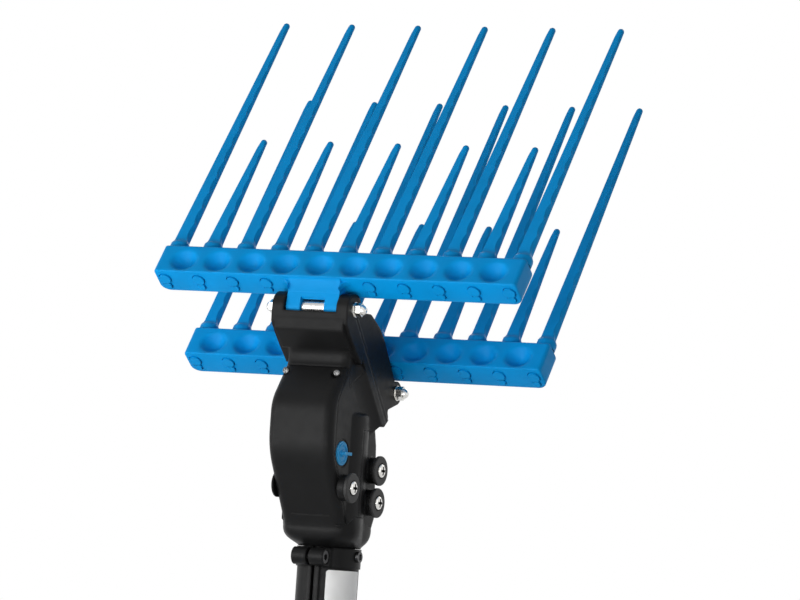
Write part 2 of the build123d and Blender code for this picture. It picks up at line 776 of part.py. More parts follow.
def make_lock_screw():
    """The screw that stops the sleeve turning on the spigot."""
    seat = sleeve_outer_radius + band_extra
    screw = rod_x(lock_screw_radius, cable_bore_radius + 3.0, seat + 0.5, 0, lock_screw_z)
    screw += rod_x(lock_head_radius, seat, seat + lock_head_height, 0, lock_screw_z)
    return screw - hex_x(lock_screw_radius * 1.6, seat + 1.0, 50, 0, lock_screw_z)


def make_pivot_pin(pivot, ear_outer):
    """A pivot pin with a threaded end on both sides."""
    thread_end = ear_outer + washer_thickness + nut_height
    pin = rod_x(pin_radius, -ear_outer, ear_outer, *pivot)
    return pin + rod_x(pin_thread_radius, -thread_end, thread_end, *pivot)


def make_pivot_washer(pivot, ear_outer):
    """A flat washer against one ear."""
    washer = rod_x(washer_radius, ear_outer, ear_outer + washer_thickness, *pivot)
    return washer - rod_x(pin_thread_radius + 0.1, 0, 50, *pivot)


def make_dome_nut(pivot, ear_outer):
    """A hexagonal nut with a closed dome."""
    start = ear_outer + washer_thickness
    nut = hex_x(nut_across_flats, start, start + nut_height, *pivot)
    dome = Pos(start + nut_height, *pivot) * Sphere(nut_dome)
    dome -= block((0, start), (-200, 200), (0, 400))
    return nut + dome - rod_x(pin_thread_radius + fit_gap, 0, start + nut_height + 0.1, *pivot)


def make_bumper_disc(y, z):
    """A rubber bumper with a sunk seat for its screw."""
    start = body_half_width + bumper_post_height
    disc = rod_x(bumper_radius, start, start + bumper_thickness, y, z)
    disc = fillet(disc.edges(), bumper_round)
    seat = start + bumper_thickness - bumper_recess
    disc -= rod_x(bumper_screw_radius + bumper_round, seat, 50, y, z)
    return disc - rod_x(bumper_thread_radius + fit_gap, 0, 50, y, z)


def make_bumper_screw(y, z):
    """A pan head screw with a cross recess."""
    seat = body_half_width + bumper_post_height + bumper_thickness - bumper_recess
    top = seat + bumper_screw_height
    head = rod_x(bumper_screw_radius, seat, top, y, z)
    head = fillet(head.edges().group_by(Axis.X)[-1], bumper_screw_round)
    half_long = cross_length / 2
    half_wide = cross_width / 2
    depth_range = (top - cross_depth, top + 1)
    head -= block(depth_range, (y - half_long, y + half_long), (z - half_wide, z + half_wide))
    head -= block(depth_range, (y - half_wide, y + half_wide), (z - half_long, z + half_long))
    return head + rod_x(bumper_thread_radius, bumper_thread_end, seat + 0.2, y, z)


def make_plug():
    """The grease plug: a disc, a stem and a grip fin."""
    seat = body_half_width - plug_sink
    plug = rod_x(plug_radius, seat + seal_thickness, body_half_width, plug_y, plug_z)
    plug += rod_x(plug_stem_radius, seat - plug_stem_length, seat + 1.0, plug_y, plug_z)
    fin_z = (plug_z - plug_fin_width / 2, plug_z + plug_fin_width / 2)
    fin_low = body_half_width + plug_clearance
    fin_start = plug_y - plug_fin_back
    foot_end = plug_y + plug_radius - 1.0
    plug += block((body_half_width - 0.5, fin_low + 0.5), (fin_start, foot_end), fin_z)
    fin_end = fin_start + plug_fin_length
    return plug + block((fin_low, body_half_width + plug_fin_height), (fin_start, fin_end), fin_z)


def make_plug_seal():
    """A flat seal ring under the plug's disc."""
    seat = body_half_width - plug_sink
    ring = rod_x(plug_radius - 0.4, seat, seat + seal_thickness - 0.02, plug_y, plug_z)
    return ring - rod_x(plug_stem_radius + running_clearance, 0, 50, plug_y, plug_z)


os.makedirs("parts", exist_ok=True)

# Combs
for comb, shift, notch_back, place in (
    ("upper", upper_comb_shift, upper_notch_back, upper_comb_place),
    ("lower", lower_comb_shift, lower_notch_back, lower_comb_place),
):
    save(comb + "_bar", place * make_bar(shift, notch_back))
    for index in range(tine_count):
        kind = "long" if index % 2 == 0 else "short"
        save(f"{comb}_{kind}_tine_{index // 2 + 1}", place * make_tine(index, shift))
    save(comb + "_pivot_bushes", [place * bush for bush in make_bushes()])
    save(comb + "_drive_pin", place * make_drive_pin())
save("upper_lever", make_lever(
    upper_pivot, upper_middle_place, upper_fork_z, fork_play_upper, upper_throw, -1, rest_swing))
save("lower_lever", make_lever(
    lower_pivot, lower_middle_place, lower_fork_z, fork_play_lower, lower_throw, 1, -rest_swing))

# Housing, parted into main housing, front cover and rear cover
blank = housing_blank()
front_region = side_prism(cover_edge_outline, body_half_width + fit_gap)
rear_region = block((-60, 60), (motor_y, 60), (rear_cover_bottom, rear_cover_top))
rear_cover_room = block((-60, 60), (motor_y + seam, 60), (rear_cover_bottom + seam, rear_cover_top - seam))
screw_holes = [small_screw_hole(place, depth) for place, depth in housing_screw_places()]
bumper_holes = [
    rod_x(bumper_thread_radius + fit_gap, bumper_thread_end - 0.5, 50, y, z) for y, z in bumper_places]
cavities = head_cuts() + screw_holes + [
    rod_z(can_radius + bay_clearance, can_low - bay_clearance, bay_top, 0, motor_y),
    side_prism(front_bay_outline, front_bay_half),
    rod_z(bearing_radius, can_top, chamber_floor + 1.0, 0, motor_y),
    rod_z(cable_bore_radius, spigot_low - 1, can_low + 1, 0, 0),
    rod_z(wiring_room_radius, wiring_room_low, can_low + 1, 0, wiring_room_y),
    rod_x(plug_radius + plug_clearance, body_half_width - plug_sink, 50, plug_y, plug_z),
    rod_x(plug_ring_radius, body_half_width - plug_ring_sink, 50, plug_y, plug_z),
    rod_x(plug_stem_radius + running_clearance, 10, 50, plug_y, plug_z),
    rod_x(lock_screw_radius + fit_gap, cable_bore_radius + 2.0, 50, 0, lock_screw_z),
]
posts = bumper_posts()
shell = blank - cavities
main_housing = shell - front_region - rear_region
main_housing += [post - front_region for post in posts if post.center().Y < motor_y]
rear_cover = (shell & rear_cover_room) - front_region
rear_cover += [post for post in posts if post.center().Y > motor_y]
tab_end = rear_tab_y + rear_tab_thickness
tab_top = rear_cover_top + rear_tab_rise
tab = block((-rear_tab_half, rear_tab_half), (rear_tab_y, tab_end), (rear_cover_top - wall, tab_top))
room_half = rear_tab_half + bay_clearance
tab_room = block(
    (-room_half, room_half), (rear_tab_y - bay_clearance, tab_end + bay_clearance),
    (rear_cover_top - 1.0, tab_top + bay_clearance))
save("main_housing", main_housing - bumper_holes - tab_room)
save("front_cover", (shell & Pos(0, -seam, 0) * front_region))
save("rear_cover", rear_cover + tab - bumper_holes)
save("head_cap", make_cap() - head_cuts() - screw_holes)
save("cap_gasket", head_slab(rim_split, cap_base, rim_half_width) - head_cuts() - screw_holes)
save("housing_screws", [small_screw(place) for place, depth in housing_screw_places()])

# Motor, shaft and eccentrics
can = rod_z(can_radius, can_low, can_top, 0, motor_y)
can -= rod_z(can_radius - can_wall, can_low + end_bell_thickness, can_top + 1, 0, motor_y)
can -= rod_z(bearing_radius + fit_gap, can_low + bearing_floor, can_top, 0, motor_y)
save("motor_can", can - rod_z(shaft_radius + bearing_bore_gap, 0, 300, 0, motor_y))
bell_low = can_top - end_bell_thickness
bell = rod_z(can_radius - can_wall - fit_gap, bell_low, can_top, 0, motor_y)
bell -= rod_z(bearing_radius + fit_gap, bell_low + bearing_floor, can_top + 1, 0, motor_y)
save("motor_end_bell", bell - rod_z(shaft_radius + bearing_bore_gap, 0, 300, 0, motor_y))
carrier = ring_z(carrier_radius, shaft_radius + bearing_bore_gap, chamber_floor, carrier_top, 0, motor_y)
carrier -= rod_z(bearing_radius + fit_gap, chamber_floor + bearing_floor, carrier_top + 1, 0, motor_y)
save("bearing_carrier", carrier - block((-50, 50), (carrier_flat_y, 50), (0, 300)))
bearing_lows = [can_low + bearing_floor, bell_low + bearing_floor, chamber_floor + bearing_floor]
save("shaft_bearings", [
    ring_z(bearing_radius, shaft_radius + fit_gap, low, low + bearing_height, 0, motor_y)
    for low in bearing_lows])
save("motor_stator", make_stator())
save("stator_coils", make_coils())
core_low = stator_low - core_overhang
core_high = stator_high + core_overhang
core_radius = rotor_radius - magnet_wall
save("rotor_core", ring_z(core_radius, shaft_radius + fit_gap, core_low, core_high, 0, motor_y))
save("rotor_magnets", [make_magnets()])
motor_axis = Axis((0, motor_y, 0), (0, 0, 1))
save("eccentric_shaft", make_shaft().rotate(motor_axis, eccentric_rest_turn))
save("eccentric_bearings", [
    piece.rotate(motor_axis, eccentric_rest_turn) for piece in make_eccentric_bearings()])

# Controller in the front bay
board_half = front_bay_half - bay_clearance
save("controller_board", block(
    (-board_half, board_half), (board_y, board_y + board_thickness), (board_low, board_high)))
capacitor = Rot(90, 0, 0) * Cylinder(capacitor_radius, capacitor_height)
save("board_capacitors", [
    Pos(side * capacitor_step, board_y - capacitor_height / 2, capacitor_z) * capacitor
    for side in (-1, 0, 1)])

# Pivot pins and their fixings
pivots = ((upper_pivot, upper_ear_outer), (lower_pivot, lower_ear_outer))
save("upper_pivot_pin", make_pivot_pin(*pivots[0]))
save("lower_pivot_pin", make_pivot_pin(*pivots[1]))
save("pivot_washers", [washer for pivot in pivots for washer in both_sides(make_pivot_washer(*pivot))])
save("pivot_nuts", [nut for pivot in pivots for nut in both_sides(make_dome_nut(*pivot))])

# Bumpers and grease plug
save("bumper_discs", [make_bumper_disc(y, z) for y, z in bumper_places])
save("bumper_screws", [make_bumper_screw(y, z) for y, z in bumper_places])
save("grease_plug", make_plug())
save("plug_seal", make_plug_seal())

# Coupling sleeve
save("pole_sleeve", make_sleeve())
save("sleeve_clamp_screws", [make_clamp_screw(z) for z in (ear_low_z, ear_top_z)])
save("sleeve_clamp_nuts", [make_clamp_nut(z) for z in (ear_low_z, ear_top_z)])
save("sleeve_lock_screw", make_lock_screw())
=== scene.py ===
import json
from math import cos, pi, radians, sin

import bmesh
import bpy
from mathutils import Matrix, Vector


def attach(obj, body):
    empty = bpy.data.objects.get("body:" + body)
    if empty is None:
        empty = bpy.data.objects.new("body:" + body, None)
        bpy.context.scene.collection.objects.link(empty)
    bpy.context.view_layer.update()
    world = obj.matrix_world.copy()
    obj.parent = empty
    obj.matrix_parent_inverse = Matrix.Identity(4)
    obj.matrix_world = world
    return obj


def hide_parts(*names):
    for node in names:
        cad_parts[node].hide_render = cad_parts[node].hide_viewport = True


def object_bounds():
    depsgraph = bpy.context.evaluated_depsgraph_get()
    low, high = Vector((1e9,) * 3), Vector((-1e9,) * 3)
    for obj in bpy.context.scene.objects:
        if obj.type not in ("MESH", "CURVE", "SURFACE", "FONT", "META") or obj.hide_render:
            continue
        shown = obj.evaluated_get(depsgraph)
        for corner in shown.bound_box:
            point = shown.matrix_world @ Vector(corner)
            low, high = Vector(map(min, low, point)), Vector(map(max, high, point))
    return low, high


# Head of an electric olive harvester, dressed around its CAD frame. Metres, in the CAD frame:
# X runs along the combs, Y points away from the user, Z goes up the pole.
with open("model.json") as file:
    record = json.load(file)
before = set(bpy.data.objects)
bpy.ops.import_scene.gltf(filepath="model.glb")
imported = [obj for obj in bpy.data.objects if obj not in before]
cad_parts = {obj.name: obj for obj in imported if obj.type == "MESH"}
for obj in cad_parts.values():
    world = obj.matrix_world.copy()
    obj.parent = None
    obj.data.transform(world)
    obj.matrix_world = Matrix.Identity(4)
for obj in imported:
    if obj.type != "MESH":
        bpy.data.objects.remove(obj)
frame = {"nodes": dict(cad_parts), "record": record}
cad_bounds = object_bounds()

# Camera, at the photograph's viewing angle
CAMERA_AZIMUTH = radians(26.425)
CAMERA_ELEVATION = radians(-3.002)
CAMERA_ROLL = radians(3.924)
CAMERA_DISTANCE = 3.42125
CAMERA_TARGET = Vector((0.038984, 0.0, 0.254783))
CAMERA_LENS = 236.40
CAMERA_REACH = 50.0
SENSOR_WIDTH = 36.0

# Colours, as linear values
WHITE = (1.0, 1.0, 1.0)
BLUE = (0.001, 0.285, 0.69)
PALE_BLUE = (0.030, 0.330, 0.66)
SCREW_GREY = (0.16, 0.16, 0.16)
# Near-black painted shade for the sunk ring round the grease plug and the bumper screws' cross recesses
PAINTED_SHADE_BLACK = (0.0018, 0.0018, 0.0018)
BLACK = (0.0065, 0.0066, 0.0068)
RUBBER_BLACK = (0.0035, 0.0035, 0.0036)
ZINC = (0.74, 0.73, 0.70)
STEEL = (0.58, 0.57, 0.56)
DARK_STEEL = (0.08, 0.08, 0.082)
BRONZE = (0.50, 0.33, 0.15)
CAST_ALUMINIUM = (0.62, 0.62, 0.63)
LAMINATION = (0.27, 0.27, 0.29)
COPPER = (0.62, 0.24, 0.10)
BOARD_GREEN = (0.015, 0.14, 0.05)
PAPER_WHITE = (0.80, 0.80, 0.79)
FLOOR_WHITE = (0.86, 0.86, 0.86)

# Surface patterns: the noise values that are stretched, and the rays that soften an edge
NOISE_LOW = 0.3
NOISE_HIGH = 0.7
EDGE_SAMPLES = 4

# Floor, surround and the place that the lamps point at
FLOOR_HALF = 2.0
FLOOR_DROP = 0.0005
FLOOR_ROUGHNESS = 0.7
FLOOR_GLOW = 0.50
SURROUND_LIGHT = 0.25
LAMP_TARGET = (0.0, 0.0, 0.25)
LOW_LAMP_TARGET = (0.0, -0.03, 0.33)

# Combs, in their own frame: pivot at the origin, tines along +Y, upper face towards +Z
TINE_COUNT = 11
TINE_PITCH = 0.025
LONG_REACH = 0.235
SHORT_REACH = 0.125
BAR_AHEAD = 0.011
BAR_DEPTH = 0.023
TINE_RISE = 0.0104
COMB_SHIFT = {"upper": 0.0125, "lower": 0.0}
COMB_SLOPE = 52.6
REST_SWING = 0.8
COMB_TILT = {"upper": radians(COMB_SLOPE - REST_SWING), "lower": radians(COMB_SLOPE + REST_SWING)}

# Tines: radii and lengths
TIP_RADIUS = 0.0022
TIP_BLEND = 0.006
ROOT_RADIUS = 0.0046
COLLAR_RADIUS = 0.0066
COLLAR_BAND = 0.0050
COLLAR_END = 0.0095
SCOOP_PITCH = 0.0145
SHANK_RADIUS = 0.0041
SHANK_PROUD = 0.0010
SHANK_SINK = 0.0002
KEY_RADIUS = 0.0028
KEY_DROP = 0.0062

# Section of a tine, as shares of its radius
SCOOP_RIDGE = 0.97
SCOOP_FLOOR = 0.62
TINE_TOP = 0.65
TINE_SHOULDER = 0.0
TINE_SIDE_LOW = 0.30
TINE_BOTTOM = 0.55
TINE_FOOT = 0.75

# Fineness of the tines' meshes
COLLAR_STEPS = 8
SCOOP_STEPS = 10
END_STEPS = 4
TIP_STEPS = 6
SIDE_STEPS = 4
ROD_POINTS = 36

# Bars of the combs, in the combs' frame
BAR_ABOVE = 0.00775
BAR_BELOW = 0.01175
BAR_END_MARGIN = 0.0065
BAR_LOW_CORNER = 0.0070
BAR_TOP_CORNER = 0.0025
BAR_EDGE_ROUND = 0.0012
BAR_STEP = 0.0010
BAR_END_STEPS = 14
BAR_TOP_STEPS = 26
BAR_ARC_STEPS = 4
BAR_CREASE = radians(35.0)
SOCKET_CLEARANCE = 0.0004
SOCKET_OVERRUN = 0.0050
DIMPLE_HALF_WIDTH = 0.0092
DIMPLE_HALF_DEPTH = 0.0080
DIMPLE_SINK = 0.0062
DIMPLE_SOFT = 0.0016
DIMPLE_FORWARD = 0.0012

# Hinge lugs of the bars, with the web and the fillet that join a lug to its bar
LUG_HALF_WIDTH = 0.0188
LUG_CUT_GAP = 0.00002
LUG_MERGE = 0.000001
LUG_SINK = 0.0003
LUG_WEB = {"upper": 0.0060, "lower": 0.0}
LUG_WEB_LOW = 0.0112
LUG_WEB_HIGH = 0.0145
LUG_FILLET_HIGH = 0.0176
LUG_FILLET_FRONT = 0.0040
LUG_FILLET_LOW = 0.0107
WEB_STEPS = 10

# Housing and sleeve
BODY_HALF_WIDTH = 0.0232
SLEEVE_RADIUS = 0.0202
HEAD_SLOPE = radians(40.0)

# Run-out of the flare from the housing's sides to the flange, along the flange and below it
FLARE_START = 0.0400
FLARE_LENGTH = 0.0220
FLARE_TOP = 0.0270
FLARE_RIM = -0.0304
FLARE_DEPTH = 0.0190
FLARE_INNER = 0.0220
FLARE_HOLLOW = 2.5
FLARE_ROWS = 16
FLARE_STEPS = 14
FLARE_CREASE = radians(50.0)

# Rounded lower end of the housing, above the sleeve
FAIRING_LOW = 0.0913
FAIRING_ROUND = 0.0125
FAIRING_HIGH = 0.1120
FAIRING_NECK_COVER = 0.0001
FAIRING_SIDE_COVER = 0.0002
FAIRING_NECK = SLEEVE_RADIUS + FAIRING_NECK_COVER
FAIRING_HALF_X = BODY_HALF_WIDTH + FAIRING_SIDE_COVER
FAIRING_FRONT = -0.0262
FAIRING_BACK = 0.0178
FAIRING_LEAN = 0.62
FAIRING_SWELL = 2.2
FAIRING_POWER = 7.0
FAIRING_TUCK = 0.0004
FAIRING_RINGS = 16
FAIRING_POINTS = 120
FAIRING_CREASE = radians(50.0)
RIDGE_RADIUS = 0.0266
RIDGE_Y = -0.0130
RIDGE_SOFT_START = 0.0020
RIDGE_SOFT_END = 0.0085

# Cross-head screws in general
HEAD_POINTS = 40
HEAD_DOME_STEPS = 6
HEAD_RIM_SHARE = 0.45
HEAD_DOME_POWER = 0.8
HEAD_FOOT = -0.0020
HEAD_CREASE = radians(35.0)
RECESS_SLACK = 0.00001

# Housing screws, with their places on the front cover, the rear cover and the cap
SCREW_HEAD_RADIUS = 0.0023
SCREW_HEAD_HEIGHT = 0.0017
SCREW_CROSS_LENGTH = 0.0029
SCREW_CROSS_WIDTH = 0.0007
SCREW_CROSS_DEPTH = 0.0009
COVER_SCREW_X = (0.0170, -0.0200)
COVER_SCREW_PLACE = (-0.0395, 0.2035)
REAR_SCREW_X = 0.0130
REAR_SCREW_PLACE = (-0.0080, 0.1024)
REAR_HOLE_RADIUS = 0.0034
REAR_HOLE_END = 0.0400
CAP_SCREW_X = 0.0215
CAP_SCREW_DEPTH = -0.0160
CAP_SCREW_RISES = (0.0260, 0.0600)

# Bumper screws
BUMPER_HEAD_RADIUS = 0.0044
BUMPER_HEAD_HEIGHT = 0.0024
BUMPER_CROSS_LENGTH = 0.0056
BUMPER_CROSS_WIDTH = 0.0017
BUMPER_CROSS_DEPTH = 0.0018
BUMPER_POST = 0.0052
BUMPER_RECESS_FLOOR = 0.0018
BUMPER_PLACES = ((-0.0327, 0.1300), (0.0060, 0.1430), (0.0048, 0.1220))

# Grease plug: the painted shade ring round it, and the rim and the hub moulded on its face
PLUG_RING_INNER = 0.0080
PLUG_RING_OUTER = 0.0091
PLUG_RING_SINK = 0.0007
PLUG_RIM_RADIUS = 0.0058
PLUG_RIM_ROUND = 0.0005
PLUG_RIM_POINTS = 10
PLUG_HUB_RADIUS = 0.0022
PLUG_HUB_HEIGHT = 0.0009
PLUG_HUB_FOOT = -0.0010
PLUG_POINTS = 64
PLUG_CREASE = radians(40.0)

# Sticker on the sleeve
STICKER_LOW = 0.056
STICKER_HIGH = 0.0765
STICKER_START = radians(-66.0)
STICKER_END = radians(14.0)
STICKER_LIFT = 0.00012
STICKER_STEPS = 24
STICKER_CORNER = 0.0020
STICKER_CORNER_STEPS = 6


# Materials
def link(tree, source, socket, target, name):
    """Join one output of a node to one input of another."""
    tree.links.new(source.outputs[socket], target.inputs[name])


def new_material(name, color, roughness, metallic=0.0):
    """A plain principled material, its node tree and its shader."""
    material = bpy.data.materials.new(name)
    material.use_nodes = True
    tree = material.node_tree
    shader = tree.nodes["Principled BSDF"]
    shader.inputs["Base Color"].default_value = (*color, 1.0)
    shader.inputs["Roughness"].default_value = roughness
    shader.inputs["Metallic"].default_value = metallic
    return material, tree, shader


def add_noise(tree, scale, detail):
    """Noise in the object's own coordinates."""
    place = tree.nodes.new("ShaderNodeTexCoord")
    noise = tree.nodes.new("ShaderNodeTexNoise")
    noise.inputs["Scale"].default_value = scale
    noise.inputs["Detail"].default_value = detail
    link(tree, place, "Object", noise, "Vector")
    return noise


def add_spread(tree, noise, low, high):
    """The noise value stretched between two values."""
    spread = tree.nodes.new("ShaderNodeMapRange")
    spread.inputs["From Min"].default_value = NOISE_LOW
    spread.inputs["From Max"].default_value = NOISE_HIGH
    spread.inputs["To Min"].default_value = low
    spread.inputs["To Max"].default_value = high
    link(tree, noise, "Fac", spread, "Value")
    return spread


def add_grain(tree, shader, scale, depth, edge=0.0):
    """Fine surface grain, with softened edges where a radius is given."""
    grain = add_noise(tree, scale, detail=3.0)
    bump = tree.nodes.new("ShaderNodeBump")
    bump.inputs["Strength"].default_value = 1.0
    bump.inputs["Distance"].default_value = depth
    link(tree, grain, "Fac", bump, "Height")
    if edge > 0.0:
        soft = tree.nodes.new("ShaderNodeBevel")
        soft.samples = EDGE_SAMPLES
        soft.inputs["Radius"].default_value = edge
        link(tree, soft, "Normal", bump, "Normal")
    link(tree, bump, "Normal", shader, "Normal")


def add_mottle(tree, shader, color, amount, scale):
    """A slow change of shade over the surface."""
    noise = add_noise(tree, scale, detail=2.0)
    spread = add_spread(tree, noise, 1.0 - amount, 1.0 + amount)
    tint = tree.nodes.new("ShaderNodeVectorMath")
    tint.operation = "SCALE"
    tint.inputs[0].default_value = color
    link(tree, spread, "Result", tint, "Scale")
    link(tree, tint, "Vector", shader, "Base Color")


def add_rough_patches(tree, shader, low, high, scale):
    """Roughness that changes a little from place to place."""
    noise = add_noise(tree, scale, detail=4.0)
    spread = add_spread(tree, noise, low, high)
    link(tree, spread, "Result", shader, "Roughness")


def moulded_plastic(name, color, roughness, gloss, grain, mottle, edge):
    """Injection moulded plastic with a fine grain."""
    material, tree, shader = new_material(name, color, roughness)
    shader.inputs["Specular IOR Level"].default_value = gloss
    add_grain(tree, shader, scale=2600.0, depth=grain, edge=edge)
    add_mottle(tree, shader, color, amount=mottle, scale=45.0)
    add_rough_patches(tree, shader, low=roughness - 0.05, high=roughness + 0.06, scale=160.0)
    return material


def metal(name, color, roughness, grain=0.00001):
    """Metal with fine uneven brightness."""
    material, tree, shader = new_material(name, color, roughness, metallic=1.0)
    add_grain(tree, shader, scale=1800.0, depth=grain)
    add_rough_patches(tree, shader, low=roughness - 0.06, high=roughness + 0.08, scale=420.0)
    return material


def rubber(name, color):
    """Matt black rubber."""
    material, tree, shader = new_material(name, color, roughness=0.62)
    add_grain(tree, shader, scale=3200.0, depth=0.00003, edge=0.0003)
    add_mottle(tree, shader, color, amount=0.18, scale=120.0)
    return material


def smooth_coat(name, color, roughness):
    """A smooth coated surface, such as a board's lacquer or paper's film."""
    material, tree, shader = new_material(name, color, roughness)
    add_mottle(tree, shader, color, amount=0.04, scale=80.0)
    return material


MATERIALS = {
    "blue_plastic": moulded_plastic(
        "blue_plastic", BLUE, roughness=0.42, gloss=0.08, grain=0.000012, mottle=0.05, edge=0.0006),
    "black_plastic": moulded_plastic(
        "black_plastic", BLACK, roughness=0.40, gloss=0.115, grain=0.00003, mottle=0.10, edge=0.0022),
    "rubber": rubber("rubber", RUBBER_BLACK),
    "zinc": metal("zinc", ZINC, roughness=0.24),
    "steel": metal("steel", STEEL, roughness=0.28),
    "dark_steel": metal("dark_steel", DARK_STEEL, roughness=0.38),
    "bronze": metal("bronze", BRONZE, roughness=0.32),
    "cast_aluminium": metal("cast_aluminium", CAST_ALUMINIUM, roughness=0.42, grain=0.00003),
    "lamination": metal("lamination", LAMINATION, roughness=0.40, grain=0.00002),
    "copper": metal("copper", COPPER, roughness=0.30, grain=0.00002),
    "magnet": metal("magnet", STEEL, roughness=0.20),
    "board": smooth_coat("board", BOARD_GREEN, roughness=0.30),
    "can_metal": metal("can_metal", CAST_ALUMINIUM, roughness=0.30),
}
LABEL_PAPER = smooth_coat("label_paper", PAPER_WHITE, roughness=0.38)
PLUG_BLUE = moulded_plastic(
    "plug_blue", PALE_BLUE, roughness=0.40, gloss=0.20, grain=0.00001, mottle=0.04, edge=0.0003)
SCREW_ZINC = metal("screw_zinc", SCREW_GREY, roughness=0.34)
BRIGHT_SCREW = metal("bright_screw", ZINC, roughness=0.18)
# Painted shade: a near-black matt material for the recess round the grease plug and the screws' cross
# recesses
PAINTED_RECESS_SHADE = rubber("painted_recess_shade", PAINTED_SHADE_BLACK)


def dress_frame():
    """Give each CAD piece the material that its record slot names."""
    slots = {entry["node"]: entry["material_slot"] for entry in frame["record"]["subparts"]}
    for name, node in frame["nodes"].items():
        finish = PLUG_BLUE if name == "grease_plug" else MATERIALS[slots[name]]
        node.data.materials.clear()
        node.data.materials.append(finish)


# Places in the frame
def joint_place(name):
    """The place of a joint, from the record."""
    joints = {joint["name"]: joint for joint in frame["record"]["behaviour"]["joints"]}
    return joints[name]["pos_m"]


def comb_place(comb):
    """The comb's own frame, at its pivot and tilt."""
    pivot = joint_place(comb + "_comb_swing")
    return Matrix.Translation(pivot) @ Matrix.Rotation(COMB_TILT[comb], 4, "X")


def head_axes():
    """The middle of the lower pivot, the direction out of the flange and the one along it."""
    base = Vector(joint_place("lower_comb_swing"))
    out = Vector((0.0, cos(HEAD_SLOPE), sin(HEAD_SLOPE)))
    along = Vector((0.0, -sin(HEAD_SLOPE), cos(HEAD_SLOPE)))
    return base, out, along


# Values and meshes
def between(start, end, share):
    """The value at a share of the way from one value to another."""
    return start + (end - start) * share


def smooth_step(value):
    """A soft step from 0 to 1."""
    share = min(max(value, 0.0), 1.0)
    return share * share * (3.0 - 2.0 * share)


def turns(count):
    """The angles of a full turn in even steps."""
    return [2.0 * pi * step / count for step in range(count)]


def skin(rings, closed=False):
    """Points and faces of a skin through rings of points, which may lead back to the first ring."""
    size = len(rings[0])
    points = [point for ring in rings for point in ring]
    faces = []
    for row in range(len(rings) if closed else len(rings) - 1):
        low = row * size
        high = (row + 1) % len(rings) * size
        for column in range(size):
            after = (column + 1) % size
            faces.append([low + column, low + after, high + after, high + column])
    return points, faces


def lofted(rings):
    """Points and faces of a skin through rings of points, with a flat cap at each end."""
    points, faces = skin(rings)
    size = len(rings[0])
    faces.append(list(range(size)))
    faces.append(list(range(len(points) - size, len(points))))
    return points, faces


def revolved(profile, count):
    """Points and faces of a profile of (radius, height) pairs turned about Z, closed on the axis."""
    return lofted([
        [(radius * cos(angle), radius * sin(angle), height) for angle in turns(count)]
        for radius, height in profile])


def rod(center_x, center_z, radius, front, back):
    """Points and faces of a round rod between two places along Y."""
    return lofted([
        [(center_x + radius * cos(angle), y, center_z + radius * sin(angle)) for angle in turns(ROD_POINTS)]
        for y in (front, back)])


def joined(meshes):
    """Points and faces of several meshes as one."""
    points = []
    faces = []
    for more_points, more_faces in meshes:
        start = len(points)
        points += more_points
        faces += [[start + index for index in face] for face in more_faces]
    return points, faces


def mesh_object(name, points, faces, material):
    """A mesh object from points and faces."""
    mesh = bpy.data.meshes.new(name)
    mesh.from_pydata(points, [], faces)
    mesh.materials.append(material)
    piece = bpy.data.objects.new(name, mesh)
    bpy.context.collection.objects.link(piece)
    return piece


def fix_normals(mesh):
    """Turn all faces outwards."""
    work = bmesh.new()
    work.from_mesh(mesh)
    bmesh.ops.recalc_face_normals(work, faces=work.faces)
    work.to_mesh(mesh)
    work.free()


def shade_by_angle(mesh, limit):
    """Smooth shading, with sharp edges where faces meet at more than the limit."""
    work = bmesh.new()
    work.from_mesh(mesh)
    for face in work.faces:
        face.smooth = True
    for edge in work.edges:
        edge.smooth = len(edge.link_faces) == 2 and edge.calc_face_angle(pi) < limit
    work.to_mesh(mesh)
    work.free()


def apply_modifiers(piece):
    """Keep the modified mesh and drop the modifiers."""
    depsgraph = bpy.context.evaluated_depsgraph_get()
    mesh = bpy.data.meshes.new_from_object(piece.evaluated_get(depsgraph))
    piece.modifiers.clear()
    piece.data = mesh


def cut_mesh(piece, points, faces):
    """Cut a closed mesh from a piece."""
    cutter = mesh_object("cutter", points, faces, piece.data.materials[0])
    fix_normals(cutter.data)
    cut = piece.modifiers.new("cut", "BOOLEAN")
    cut.object = cutter
    cut.operation = "DIFFERENCE"
    cut.solver = "EXACT"
    apply_modifiers(piece)
    bpy.data.objects.remove(cutter)


def cut_box(piece, size, height):
    """Cut a box, centred on the Z axis at a height, from a piece."""
    x, y, z = [side / 2.0 for side in size]
    corners = ((-x, -y), (x, -y), (x, y), (-x, y))
    points, faces = lofted([[(*corner, level) for corner in corners] for level in (height - z, height + z)])
    cut_mesh(piece, points, faces)


# Tines
def tine_radius(along, reach):
    """The tine's radius at a distance from the back of the bar."""
    if along < COLLAR_END:
        share = smooth_step((along - COLLAR_BAND) / (COLLAR_END - COLLAR_BAND))
        return between(COLLAR_RADIUS, ROOT_RADIUS, share)
    share = (along - COLLAR_END) / (reach - BAR_DEPTH - COLLAR_END)
    return between(ROOT_RADIUS, TIP_RADIUS, share)


def scoop_share(along):
    """The place of the scooped edge of a tine's upper face, as a share of the tine's radius."""
    phase = max(along - COLLAR_END, 0.0) % SCOOP_PITCH / SCOOP_PITCH
    return between(SCOOP_FLOOR, SCOOP_RIDGE, (2.0 * phase - 1.0) ** 2)


def tine_ring(radius, share, roundness, along, x):
    """One ring of points round a tine: scooped shoulder, sides, lower face and upper face."""
    corners = [
        (share, TINE_TOP), (1.0, TINE_SHOULDER), (1.0, -TINE_SIDE_LOW), (TINE_FOOT, -TINE_BOTTOM),
        (-TINE_FOOT, -TINE_BOTTOM), (-1.0, -TINE_SIDE_LOW), (-1.0, TINE_SHOULDER), (-SCOOP_RIDGE, TINE_TOP)]
    y = BAR_AHEAD + BAR_DEPTH + along
    ring = []
    for index, corner in enumerate(corners):
        start = Vector(corner)
        end = Vector(corners[(index + 1) % len(corners)])
        for step in range(SIDE_STEPS):
            flat = start.lerp(end, step / SIDE_STEPS)
            place = flat.lerp(flat.normalized(), roundness) * radius
            ring.append((x + place.x, y, TINE_RISE + place.y))
    return ring


